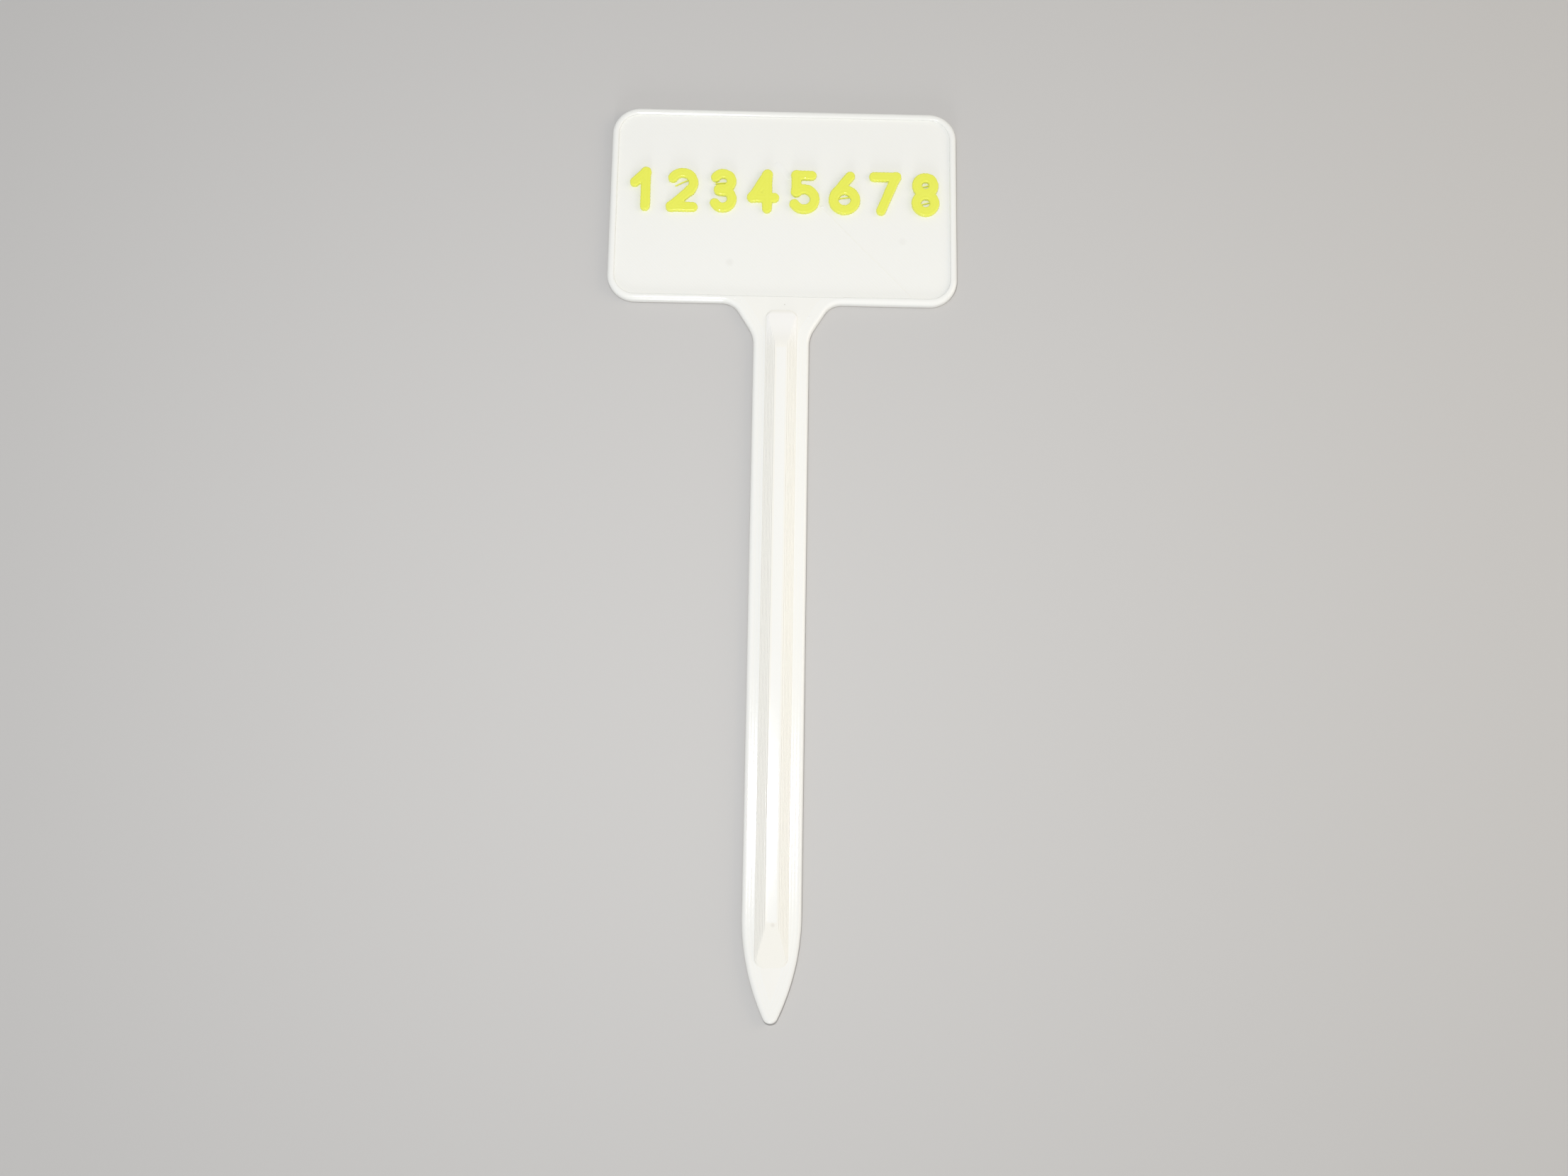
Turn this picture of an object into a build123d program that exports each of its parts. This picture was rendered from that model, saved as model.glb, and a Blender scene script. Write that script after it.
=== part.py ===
from build123d import *
from math import acos, atan2, cos, degrees, hypot, radians, sin, sqrt, tan
import os

# A garden label: a rimmed plaque on a ribbed, pointed stake, with raised numerals across its face.
# It is printed flat on its back in white plastic, and the numerals are laid on afterwards in yellow.
# Lengths are in millimetres. X runs across the plaque, +Y from the point of the stake to the
# plaque, +Z up from the flat back. The origin is on the back, at the middle of the whole label.

# Plaque
PLAQUE_W = 50.0
PLAQUE_H = 30.0
PLAQUE_CORNER_R = 4.0
PANEL_T = 0.8
RIM_W = 1.0
RIM_RISE = 0.4
RIM_INNER_ROUND = 0.25

# Stake blade, whose upper face is level with the top of the rim
STAKE_W = 7.9
STAKE_L = 100.0
SHOULDER_SPREAD = 3.05
SHOULDER_L = 4.95
SHOULDER_TOP_R = 2.75
SHOULDER_LOW_R = 4.9
ROOT_LIP = 0.3
POINT_CURVE_R = 31.2
POINT_BLUNT_R = 1.05
EDGE_ROUND = 0.4

# Stiffening rib along the blade
RIB_BASE_W = 4.5
RIB_TOP_W = 1.8
RIB_H = 1.4
RIB_CREST_R = 0.8
RIB_CORNER_R = 1.2
RIB_ROOT_GAP = 1.2
RIB_ROOT_RAMP = 3.0
RIB_POINT_GAP = 7.1
RIB_POINT_RAMP = 5.0
RIB_RAMP_BLEND_R = 4.0

# Raised numerals, drawn with a round pen of one width
NUMERAL_COUNT = 8
NUMERAL_W = 4.65
NUMERAL_H = 6.8
NUMERAL_RISE = 0.6
NUMERAL_BEVEL = 0.2
ROW_MARGIN = 1.2
BASELINE_RISE = 13.7
PEN_W = 1.5
STEM_SHIFT = 0.55
SIX_TOP_SHIFT = 0.8
WAIST_RISE = 0.1
WAIST_SPREAD = 0.12
FOUR_BAR_RISE = 1.7
FIVE_JOINT_ANGLE = 135.0
OPEN_END_ANGLE = 150.0

# Places that follow from the sizes
BLADE_T = PANEL_T + RIM_RISE
TIP_Y = -(STAKE_L + PLAQUE_H) / 2
NECK_Y = TIP_Y + STAKE_L
PLAQUE_MID_Y = NECK_Y + PLAQUE_H / 2

# The numerals stand in a row, evenly spaced, that fills the face between its margins.
# HALF_W and HALF_H bound the middle line of the pen's strokes, about the middle of a numeral.
ROW_W = PLAQUE_W - 2 * RIM_W - 2 * ROW_MARGIN
ROW_Y = NECK_Y + BASELINE_RISE + NUMERAL_H / 2
CELL_PITCH = (ROW_W - NUMERAL_W) / (NUMERAL_COUNT - 1)
PEN_R = PEN_W / 2
HALF_W = NUMERAL_W / 2 - PEN_R
HALF_H = NUMERAL_H / 2 - PEN_R


def plaque_outline(inset=0.0):
    """Rounded outline of the plaque, drawn in by inset on every side."""
    outline = RectangleRounded(PLAQUE_W - 2 * inset, PLAQUE_H - 2 * inset, PLAQUE_CORNER_R - inset)
    return Pos(0, PLAQUE_MID_Y) * outline


def face_panel():
    """Flat panel that carries the numerals, set inside the rim and below its top."""
    return extrude(plaque_outline(RIM_W), PANEL_T)


def root_half_width():
    """Half width of the blade's root, which closes the rim just outside the flared shoulders."""
    half_turn = atan2(SHOULDER_L, SHOULDER_SPREAD) / 2
    return STAKE_W / 2 + SHOULDER_SPREAD + SHOULDER_TOP_R * tan(half_turn) + ROOT_LIP


def top_loops(solid):
    """Edge loops around the uppermost face, shortest first."""
    return solid.faces().sort_by(Axis.Z)[-1].wires().sort_by(SortBy.LENGTH)


def border_rim():
    """Rounded bead around the panel, open along its lower side where the blade's root closes it."""
    ring = extrude(plaque_outline() - plaque_outline(RIM_W), BLADE_T)
    ring = fillet(top_loops(ring)[-1].edges(), EDGE_ROUND)
    ring = fillet(top_loops(ring)[0].edges(), RIM_INNER_ROUND)
    from_below = (Align.CENTER, Align.MIN, Align.MIN)
    root_space = Box(2 * root_half_width(), RIM_W, BLADE_T, align=from_below)
    return ring - Pos(0, NECK_Y, 0) * root_space


def point_flank():
    """Ends of the right flank's curve: where it leaves the straight blade and meets the tip."""
    half_w = STAKE_W / 2
    centre_x = half_w - POINT_CURVE_R
    tip_centre_y = TIP_Y + POINT_BLUNT_R
    start_y = tip_centre_y + sqrt((POINT_CURVE_R - POINT_BLUNT_R) ** 2 - centre_x**2)
    reach = POINT_CURVE_R / (POINT_CURVE_R - POINT_BLUNT_R)
    end = (centre_x - centre_x * reach, start_y + (tip_centre_y - start_y) * reach)
    return (half_w, start_y), end


def blade_outline():
    """Root that closes the rim, flared shoulders, straight blade and blunt pointed end."""
    half_w = STAKE_W / 2
    root_x = root_half_width()
    root_y = NECK_Y + RIM_W
    flank_start, flank_end = point_flank()
    shoulder = FilletPolyline(
        (0, root_y),
        (root_x, root_y),
        (root_x, NECK_Y),
        (half_w + SHOULDER_SPREAD, NECK_Y),
        (half_w, NECK_Y - SHOULDER_L),
        flank_start,
        radius=[0, 0, SHOULDER_TOP_R, SHOULDER_LOW_R],
    )
    flank = TangentArc(flank_start, flank_end, tangent=(0, -1))
    tip = ThreePointArc(flank_end, (0, TIP_Y), (-flank_end[0], flank_end[1]))
    return make_face([shoulder, flank, tip, mirror(flank, Plane.YZ), mirror(shoulder, Plane.YZ)])


def stake_blade():
    """Flat blade, rounded along its outer upper edges and, like the rim, along the panel."""
    blade = extrude(blade_outline(), BLADE_T)
    *outer_edges, _, _, panel_edge = top_loops(blade)[0].edges().sort_by(Axis.Y)
    blade = fillet(outer_edges, EDGE_ROUND)
    panel_edge = top_loops(blade)[0].edges().sort_by(Axis.Y)[-1]
    return fillet(panel_edge, RIM_INNER_ROUND)


def rib_profile(*corners, crest_r):
    """Closed four-cornered profile with its two upper corners rounded."""
    profile = make_face(Polyline(*corners, close=True))
    return fillet(profile.vertices().group_by(Axis.Y)[-1], crest_r)


def centre_rib():
    """Rib with sloping sides and a rounded crest, which ramps down to the blade at both ends."""
    root_y = NECK_Y - RIB_ROOT_GAP
    point_y = TIP_Y + RIB_POINT_GAP
    half_base = RIB_BASE_W / 2
    half_top = RIB_TOP_W / 2
    end_view = rib_profile(
        (-half_base, 0), (-half_top, RIB_H), (half_top, RIB_H), (half_base, 0), crest_r=RIB_CREST_R
    )
    side_view = rib_profile(
        (point_y, 0),
        (point_y + RIB_POINT_RAMP, RIB_H),
        (root_y - RIB_ROOT_RAMP, RIB_H),
        (root_y, 0),
        crest_r=RIB_RAMP_BLEND_R,
    )
    length = root_y - point_y
    plan_view = Pos(0, (root_y + point_y) / 2) * RectangleRounded(RIB_BASE_W, length, RIB_CORNER_R)
    rib = extrude(Plane.XZ.offset(-root_y) * end_view, length)
    rib &= extrude(Plane.YZ * side_view, half_base, both=True)
    rib &= extrude(plan_view, RIB_H)
    return Pos(0, 0, BLADE_T) * rib


def stroke(*path):
    """Flat shape that the round pen leaves along joined lines and arcs."""
    return Sketch() + [SlotArc(leg, PEN_W) for leg in path]


def loop(centre_y, radius):
    """Flat ring that the round pen leaves along a full circle."""
    return Pos(0, centre_y) * (Circle(radius + PEN_R) - Circle(radius - PEN_R))


def on_circle(centre_y, radius, angle):
    """Point on a pen circle about the numeral's upright middle line, counted from +X."""
    turn = radians(angle)
    return radius * cos(turn), centre_y + radius * sin(turn)


def bow(centre_y, radius, start, end):
    """Arc of a pen circle between two angles."""
    return ThreePointArc(*(on_circle(centre_y, radius, angle) for angle in (start, (start + end) / 2, end)))


def touch_angle(start, centre_y, radius):
    """Angle at which a line from start first touches a pen circle, counter-clockwise from start."""
    heading = atan2(start[1] - centre_y, start[0])
    return degrees(heading + acos(radius / hypot(start[0], start[1] - centre_y)))


def bowls():
    """Centre heights and radii of the upper and lower bowls, which meet at the waist."""
    upper_r = (HALF_H - WAIST_RISE - WAIST_SPREAD) / 2
    lower_r = (HALF_H + WAIST_RISE - WAIST_SPREAD) / 2
    return (HALF_H - upper_r, upper_r), (lower_r - HALF_H, lower_r)


def one():
    top = (STEM_SHIFT, HALF_H)
    flag_end = (STEM_SHIFT - HALF_W, HALF_H - HALF_W)
    return stroke(Line(flag_end, top), Line(top, (STEM_SHIFT, -HALF_H)))


def two():
    centre_y = HALF_H - HALF_W
    foot = (-HALF_W, -HALF_H)
    touch = touch_angle(foot, centre_y, HALF_W)
    neck = Line(on_circle(centre_y, HALF_W, touch), foot)
    return stroke(bow(centre_y, HALF_W, OPEN_END_ANGLE, touch), neck, Line(foot, (HALF_W, -HALF_H)))


def three():
    upper, lower = bowls()
    upper_waist = on_circle(*upper, -90)
    lower_waist = on_circle(*lower, 90)
    upper_tongue = Line(upper_waist, (-STEM_SHIFT, upper_waist[1]))
    lower_tongue = Line(lower_waist, (-STEM_SHIFT, lower_waist[1]))
    upper_bowl = stroke(bow(*upper, OPEN_END_ANGLE, -90), upper_tongue)
    lower_bowl = stroke(bow(*lower, -OPEN_END_ANGLE, 90), lower_tongue)
    return upper_bowl + lower_bowl


def four():
    top = (STEM_SHIFT, HALF_H)
    elbow = (-HALF_W, FOUR_BAR_RISE - HALF_H)
    slant_and_bar = stroke(Line(top, elbow), Line(elbow, (HALF_W, elbow[1])))
    return slant_and_bar + stroke(Line(top, (STEM_SHIFT, -HALF_H)))


def five():
    centre_y = HALF_W - HALF_H
    joint = on_circle(centre_y, HALF_W, FIVE_JOINT_ANGLE)
    corner = (joint[0], HALF_H)
    bar = Line((-joint[0], HALF_H), corner)
    return stroke(bar, Line(corner, joint), bow(centre_y, HALF_W, FIVE_JOINT_ANGLE, -OPEN_END_ANGLE))


def six():
    centre_y = HALF_W - HALF_H
    top = (SIX_TOP_SHIFT, HALF_H)
    touch = touch_angle(top, centre_y, HALF_W)
    stem = Line(top, on_circle(centre_y, HALF_W, touch))
    return stroke(stem, bow(centre_y, HALF_W, touch, 270)) + loop(centre_y, HALF_W)


def seven():
    corner = (HALF_W, HALF_H)
    return stroke(Line((-HALF_W, HALF_H), corner), Line(corner, (-STEM_SHIFT, -HALF_H)))


def eight():
    upper, lower = bowls()
    return loop(*upper) + loop(*lower)


def numeral(draw, place):
    """Raised numeral at its place in the row, bevelled along its upper edges."""
    centre_x = (place - (NUMERAL_COUNT - 1) / 2) * CELL_PITCH
    solid = extrude(Pos(centre_x, ROW_Y, PANEL_T) * draw(), NUMERAL_RISE)
    return chamfer(solid.faces().sort_by(Axis.Z)[-1].edges(), NUMERAL_BEVEL)


NUMERALS = (one, two, three, four, five, six, seven, eight)

pieces = {
    "face_panel": face_panel(),
    "border_rim": border_rim(),
    "stake_blade": stake_blade(),
    "centre_rib": centre_rib(),
}
for place in range(NUMERAL_COUNT):
    pieces[f"numeral_{place + 1}"] = numeral(NUMERALS[place % len(NUMERALS)], place)

os.makedirs("parts", exist_ok=True)
for name, piece in pieces.items():
    export_step(piece, f"parts/{name}.step")
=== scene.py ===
from math import acos, atan2, cos, hypot, pi, radians, sin, sqrt, tan

import bmesh
import bpy
from bpy.props import FloatProperty, FloatVectorProperty, PointerProperty
from mathutils import Matrix, Vector, noise


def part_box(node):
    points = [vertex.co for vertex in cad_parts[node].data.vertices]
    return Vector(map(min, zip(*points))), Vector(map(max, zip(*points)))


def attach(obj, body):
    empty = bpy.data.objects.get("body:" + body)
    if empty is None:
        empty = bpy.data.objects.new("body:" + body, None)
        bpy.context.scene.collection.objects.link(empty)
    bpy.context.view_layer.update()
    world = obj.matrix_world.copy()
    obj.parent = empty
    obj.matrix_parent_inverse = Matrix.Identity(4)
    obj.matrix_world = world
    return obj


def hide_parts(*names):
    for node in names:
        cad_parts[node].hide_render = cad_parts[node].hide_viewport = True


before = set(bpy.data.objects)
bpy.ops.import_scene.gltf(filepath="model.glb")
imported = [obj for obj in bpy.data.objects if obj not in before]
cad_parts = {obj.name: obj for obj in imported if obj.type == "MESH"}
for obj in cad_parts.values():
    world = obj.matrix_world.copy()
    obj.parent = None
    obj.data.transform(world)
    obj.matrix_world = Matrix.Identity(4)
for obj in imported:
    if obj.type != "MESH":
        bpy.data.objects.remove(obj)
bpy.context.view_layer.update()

bl_info = {
    "name": "Printed plant label",
    "version": (1, 0, 0),
    "blender": (4, 5, 0),
    "location": "3D View > Sidebar > Plant label",
    "description": "Lays a flat plant label bead by bead in white plastic, with raised yellow numerals",
    "category": "Object",
}

# Lengths are in metres, in the label's own frame: X across the plaque, +Y from the point to the
# plaque, +Z up from the flat back.
MM = 0.001
WELD = 0.001 * MM
SMOOTH_ANGLE = radians(40)
PANEL_LOW, PANEL_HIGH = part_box("face_panel")
RIM_LOW, RIM_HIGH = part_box("border_rim")
BLADE_LOW, BLADE_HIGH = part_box("stake_blade")
RIB_LOW, RIB_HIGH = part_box("centre_rib")
NUMERAL_NODES = [name for name in sorted(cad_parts) if name.startswith("numeral_")]


def length(name, description, default):
    """A size in metres that a user can change."""
    return FloatProperty(name=name, description=description, default=default, unit="LENGTH", precision=6)


def angle(name, description, default):
    """A turn that a user gives in degrees."""
    return FloatProperty(name=name, description=description, default=radians(default), subtype="ANGLE")


def share(name, description, default):
    """A share from none to all."""
    return FloatProperty(
        name=name, description=description, default=default, min=0, max=1, subtype="FACTOR")


def level(name, description, default):
    """A strength of light, where 1 shows a colour as it is written."""
    return FloatProperty(name=name, description=description, default=default, min=0)


def colour(name, description, default):
    """A linear colour."""
    return FloatVectorProperty(
        name=name, description=description, default=default, size=3, subtype="COLOR")


def place(name, description, default):
    """A point in the label's frame."""
    return FloatVectorProperty(
        name=name, description=description, default=default, size=3, subtype="TRANSLATION")


class LabelShape(bpy.types.PropertyGroup):
    """Forms of the white print."""

    corner_radius: length("Corner radius", "Radius of the plaque's corners", 4.0 * MM)
    outer_round: length("Outer round", "Rounding along the outer upper edges", 0.58 * MM)
    inner_round: length("Inner round", "Rounding of the rim along the face", 0.25 * MM)
    stake_width: length("Stake width", "Width of the straight stake", 7.9 * MM)
    shoulder_spread: length("Shoulder spread", "How far each shoulder flares out", 3.05 * MM)
    shoulder_length: length("Shoulder length", "Length of the flare along the stake", 4.95 * MM)
    shoulder_top_radius: length("Shoulder top radius", "Radius between flare and plaque", 2.75 * MM)
    shoulder_low_radius: length("Shoulder low radius", "Radius between flare and stake", 4.9 * MM)
    point_curve_radius: length("Point curve radius", "Radius of the flanks of the point", 31.2 * MM)
    point_blunt_radius: length("Point blunt radius", "Radius of the blunt tip", 1.05 * MM)
    rib_top_width: length("Rib top width", "Width of the rib between its upper corners", 1.8 * MM)
    rib_crest_radius: length("Rib crest radius", "Rounding of the rib's upper corners", 0.8 * MM)
    rib_corner_radius: length("Rib corner radius", "Rounding of the rib's ends, from above", 1.2 * MM)
    rib_root_ramp: length("Rib root ramp", "Length of the ramp beside the plaque", 5.5 * MM)
    rib_point_ramp: length("Rib point ramp", "Length of the ramp beside the point", 5.0 * MM)
    rib_ramp_blend: length("Rib ramp blend", "Rounding where a ramp meets the crest", 6.0 * MM)


class LabelBeads(bpy.types.PropertyGroup):
    """Sizes of the plastic beads that the label is laid from."""

    layer: length("Layer", "Height of one layer", 0.2 * MM)
    step_share: share("Step share", "How far the layers of the rib stand out as steps with soft edges", 0.8)
    bulge: length("Bulge", "Depth of the cleft between two layers on a wall", 0.012 * MM)
    pitch: length("Pitch", "Distance between two beads of a face", 0.373 * MM)
    rise: length("Rise", "Height of a bead's crest above the cleft beside it", 0.006 * MM)
    back_rise: length("Back rise", "The same on the back, which was pressed flat", 0.012 * MM)
    pair_shift: length("Pair shift", "How far the beads of a face close up in pairs", 0.012 * MM)
    tuck: length("Tuck", "How far the beads of a face reach under their border", 0.5 * MM)
    fine_line: length("Fine line", "Depth of the fine lines along the rounding of the rim", 0.004 * MM)
    edge_bead: length("Edge bead", "Width of one bead that follows the outline", 0.44 * MM)
    edge_width: length("Edge width", "Width of all the beads that follow the outline", 1.76 * MM)
    speck_size: length("Speck size", "Size of a shiny speck on the neck", 0.11 * MM)
    speck_height: length("Speck height", "Height of a shiny speck above its face", 0.03 * MM)


class LabelNumerals(bpy.types.PropertyGroup):
    """Forms of the raised numerals, which a round pen of one width draws."""

    pen_width: length("Pen width", "Width of the strokes", 1.5 * MM)
    top_round: length("Top round", "Rounding along the upper edges", 0.2 * MM)
    joint_round: length("Joint round", "Softness of the inner corners where strokes meet", 0.3 * MM)
    bead: length("Bead", "Width of the bead that follows the outline", 0.42 * MM)
    rise: length("Rise", "Depth of the cleft inside that bead", 0.010 * MM)
    ripple: length("Ripple", "Height of the slanting ripples", 0.007 * MM)
    edge_ripple: length("Edge ripple", "How far those ripples push the edges out and in", 0.02 * MM)
    wave: length("Wave", "How far the edges waver", 0.05 * MM)
    wave_length: length("Wave length", "Distance from one waver to the next", 1.3 * MM)
    cell: length("Cell", "Distance between the points of the upper face", 0.065 * MM)
    string_width: length("String width", "Width of the strings across the numerals' gaps", 0.2 * MM)
    stem_shift: length("Stem shift", "Distance of the upright stems from the middle", 0.55 * MM)
    six_top_shift: length("Six top shift", "Distance of the six's upper end from the middle", 0.8 * MM)
    waist_rise: length("Waist rise", "Height of the waist above the middle", 0.1 * MM)
    waist_spread: length("Waist spread", "Half the distance between two bowls at the waist", 0.12 * MM)
    four_bar_rise: length("Four bar rise", "Height of the four's bar above its foot", 1.7 * MM)
    five_joint: angle("Five joint", "Where the five's stem meets its bowl", 135)
    open_end: angle("Open end", "Where an open bowl ends", 150)


class LabelFinish(bpy.types.PropertyGroup):
    """Colours and gloss of the two plastics, with the colours of their painted shade and painted light."""

    white: colour("White", "White plastic where it is thin, on the plaque", (0.86, 0.87, 0.85))
    cream: colour("Cream", "The same plastic where it is thick, along the stake", (0.868, 0.874, 0.853))
    # Painted shade: the colour that clefts and the rib's sloping sides are darkened and warmed towards,
    # which mottled patches also lean to
    shade: colour("Shade", "White plastic in clefts and along the rib's sides", (0.88, 0.81, 0.62))
    # Painted light on the rib's root ramp, which faces away from the lamps
    bright: colour("Bright", "White plastic where the rib ramps down to the plaque", (0.94, 0.94, 0.925))
    # Colour of the smudges and specks, and of a darker brown band along the foot of the walls
    dirt_and_dark_foot: colour("Dirt", "Specks, smudges and the line of soil along the foot", (0.30, 0.25, 0.20))
    yellow: colour("Yellow", "Plastic of the numerals", (0.81, 0.845, 0.115))
    # Painted shade of the numerals' clefts, which their mottled patches also lean to
    amber_shade_and_mottle: colour("Amber", "The same plastic in clefts", (0.75, 0.78, 0.07))
    gloss: share("Roughness", "Roughness of the plain plastic", 0.12)
    gloss_spread: share("Roughness spread", "How much the roughness varies", 0.06)


class LabelStage(bpy.types.PropertyGroup):
    """Floor, light and camera."""

    floor: colour("Floor", "Colour of the floor", (0.55, 0.545, 0.54))
    floor_size: length("Floor size", "Width of the floor", 30.0)
    floor_drop: length("Floor drop", "Gap between the label and the floor", 0.05 * MM)
    floor_gloss: share("Floor gloss", "Roughness of the floor", 0.6)
    ambient: level("Ambient", "Light from all around", 0.48)
    key: level("Key", "Light from beside the camera", 0.475)
    key_place: place("Key place", "Where the key light hangs", (-23 * MM, -5 * MM, 252 * MM))
    key_size: length("Key size", "Width of the key light", 20 * MM)
    side: level("Side", "Warm light from the right", 0.20)
    side_place: place("Side place", "Where the side light hangs", (0.35, 0.05, 0.20))
    side_size: length("Side size", "Width of the side light", 0.25)
    side_tint: colour("Side tint", "Colour of the side light", (1.0, 0.86, 0.66))
    front: level("Front", "Low light from a narrow window in front", 0.23)
    front_place: place("Front place", "Where the window is", (-0.048, -0.865, 0.205))
    front_width: length("Front width", "Width of the window", 0.05)
    front_height: length("Front height", "Height of the window", 0.30)
    camera_place: place("Camera place", "Where the camera stands", (-2.26 * MM, -70.31 * MM, 252.05 * MM))
    camera_tilt: angle("Camera tilt", "Turn of the camera about X", 14.1729)
    camera_roll: angle("Camera roll", "Turn of the camera about Y", -0.9524)
    camera_turn: angle("Camera turn", "Turn of the camera about Z", 0.8745)
    lens: FloatProperty(
        name="Lens", description="Focal length in millimetres", default=43.4702, unit="CAMERA")


# Outlines, with the steps that their arcs and straight runs are drawn in

CORNER_STEPS = 8
SHOULDER_STEPS = 10
FLANK_STEPS = 20
TIP_STEPS = 8
STAKE_STEPS = 32


def arc(centre, radius, start, end, steps):
    """Points along an arc about a centre, both ends included."""
    turns = [start + (end - start) * i / steps for i in range(steps + 1)]
    return [(centre[0] + radius * cos(turn), centre[1] + radius * sin(turn)) for turn in turns]


def run(start, end, steps):
    """Points between two points, both ends left out."""
    shares = [i / steps for i in range(1, steps)]
    return [(start[0] + (end[0] - start[0]) * s, start[1] + (end[1] - start[1]) * s) for s in shares]


def line(start, end, steps):
    """Points from one point to another, both included."""
    return [start] + run(start, end, steps) + [end]


def mirrored(right):
    """The right side of an outline and the left side that matches it."""
    return right, [(-x, y) for x, y in right]


def rounded_sides(half_width, low_y, high_y, corner, steps):
    """Both sides of a rounded rectangle, from its upper end to its lower end."""
    corner = min(corner, half_width)
    upper = arc((half_width - corner, high_y - corner), corner, pi / 2, 0, CORNER_STEPS)
    lower = arc((half_width - corner, low_y + corner), corner, 0, -pi / 2, CORNER_STEPS)
    return mirrored(upper + run(upper[-1], lower[0], steps) + lower)


def blade_sides(shape, inset):
    """Both sides of the stake, from its root in the rim to its tip, drawn in by inset."""
    half = shape.stake_width / 2
    neck_y = RIM_LOW.y
    crest_y = BLADE_HIGH.y - shape.inner_round
    slant = atan2(shape.shoulder_length, shape.shoulder_spread)
    top_r = shape.shoulder_top_radius
    top_centre = (half + shape.shoulder_spread + top_r * tan(slant / 2), neck_y - top_r)
    low_r = shape.shoulder_low_radius
    low_y = neck_y - shape.shoulder_length - low_r * tan((pi / 2 - slant) / 2)
    shoulder = arc(top_centre, top_r + inset, pi / 2, pi / 2 + slant, SHOULDER_STEPS)
    shoulder = [(x, min(y, crest_y)) for x, y in shoulder]
    shoulder += arc((half + low_r, low_y), low_r + inset, pi / 2 + slant, pi, CORNER_STEPS)

    blunt_r = shape.point_blunt_radius
    flank_r = shape.point_curve_radius
    tip_centre = BLADE_LOW.y + blunt_r
    flank_y = tip_centre + sqrt((flank_r - blunt_r) ** 2 - (flank_r - half) ** 2)
    flank_end = -acos((flank_r - half) / (flank_r - max(inset, blunt_r)))
    flank = arc((half - flank_r, flank_y), flank_r - inset, 0, flank_end, FLANK_STEPS)
    if inset > blunt_r:
        tip = [(0.0, flank[-1][1])] * (TIP_STEPS + 1)
    else:
        tip = arc((0, tip_centre), blunt_r - inset, flank_end, -pi / 2, TIP_STEPS)

    along_panel = inset * shape.inner_round / shape.outer_round
    root = [(BLADE_HIGH.x, max(BLADE_HIGH.y - along_panel, crest_y)), (BLADE_HIGH.x, shoulder[0][1])]
    return mirrored(root + shoulder + run(shoulder[-1], flank[0], STAKE_STEPS) + flank + tip)


def straight(start, end):
    """Distance of a place from a straight stroke's middle line."""
    reach = hypot(end[0] - start[0], end[1] - start[1])
    along = ((end[0] - start[0]) / reach, (end[1] - start[1]) / reach)

    def distance(x, y):
        gone = (x - start[0]) * along[0] + (y - start[1]) * along[1]
        gone = min(max(gone, 0.0), reach)
        return hypot(x - start[0] - along[0] * gone, y - start[1] - along[1] * gone)

    return distance


def bow(centre_y, bend, start, end):
    """Distance of a place from a stroke along an arc about the upright middle line."""
    low = min(start, end)
    sweep = abs(end - start)
    ends = arc((0.0, centre_y), bend, start, end, 1)

    def distance(x, y):
        turn = (atan2(y - centre_y, x) - low) % (2 * pi)
        if turn <= sweep:
            return abs(hypot(x, y - centre_y) - bend)
        return min(hypot(x - end_x, y - end_y) for end_x, end_y in ends)

    return distance


def joined(strokes, softness):
    """Distance of a place from the nearest of several strokes, whose inner corners are softened."""
    def distance(x, y):
        nearest, *others = [stroke(x, y) for stroke in strokes]
        for other in others:
            overlap = max(softness - abs(nearest - other), 0.0) / softness
            nearest = min(nearest, other) - overlap**2 * softness / 4
        return nearest

    return distance


# Profiles of walls and faces, as rows of inset, height and cleft, where the cleft also sets how much shade
# is painted there

ROWS_PER_LAYER = 5
ROWS_PER_BEAD = 8
ROWS_PER_LINE = 8
ROWS_PER_ROUND = 10


def cleft(position):
    """Depth of the cleft between two beads: 1 in the cleft, 0 on the crest half a bead away."""
    return (1 - sin(pi * (position % 1.0))) ** 2


def wall_rows(beads, low, high, rounding, lines=0):
    """Wall of bulging layers whose upper edge is rounded, with fine lines along the rounding."""
    rows = []
    straight_top = high - rounding
    steps = max(1, round((straight_top - low) / beads.layer * ROWS_PER_LAYER))
    for i in range(steps + 1):
        height = low + (straight_top - low) * i / steps
        depth = cleft((height - low) / beads.layer)
        rows.append((beads.bulge * depth, height, depth))
    steps = ROWS_PER_LINE * lines or ROWS_PER_ROUND
    for i in range(1, steps + 1):
        turn = pi / 2 * i / steps
        reach = rounding - beads.fine_line * (1 - cos(2 * pi * lines * i / steps)) / 2
        height = straight_top + reach * sin(turn)
        depth = cleft((height - low) / beads.layer) * cos(turn)
        rows.append((rounding - reach * cos(turn) + beads.bulge * depth, height, depth))
    return rows


def face_rows(start, end, width, crest, rise):
    """Beads side by side on a level face, from one inset to another."""
    steps = max(2, round((end - start) / width * ROWS_PER_BEAD))
    rows = []
    for i in range(1, steps + 1):
        inset = start + (end - start) * i / steps
        depth = cleft(inset / width)
        rows.append((inset, crest - rise * depth, depth))
    return rows


# Meshes. A raised shell is welded and its slope is measured over shares of a cell. The edge and the
# margin of a dome are shares of its radius, which its cells divide.

CELL_WELD = 0.1
CELL_SLOPE = 0.25
DOME_EDGE = 0.1
DOME_MARGIN = 1.2
DOME_CELLS = 6


def closed_mesh(bm, weld):
    """Mesh from a shape whose doubles are merged and whose faces are turned outwards."""
    bmesh.ops.remove_doubles(bm, verts=bm.verts, dist=weld)
    bmesh.ops.dissolve_degenerate(bm, edges=bm.edges, dist=weld)
    bmesh.ops.recalc_face_normals(bm, faces=bm.faces)
    mesh = bpy.data.meshes.new("shell")
    bm.to_mesh(mesh)
    bm.free()
    return mesh


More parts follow.
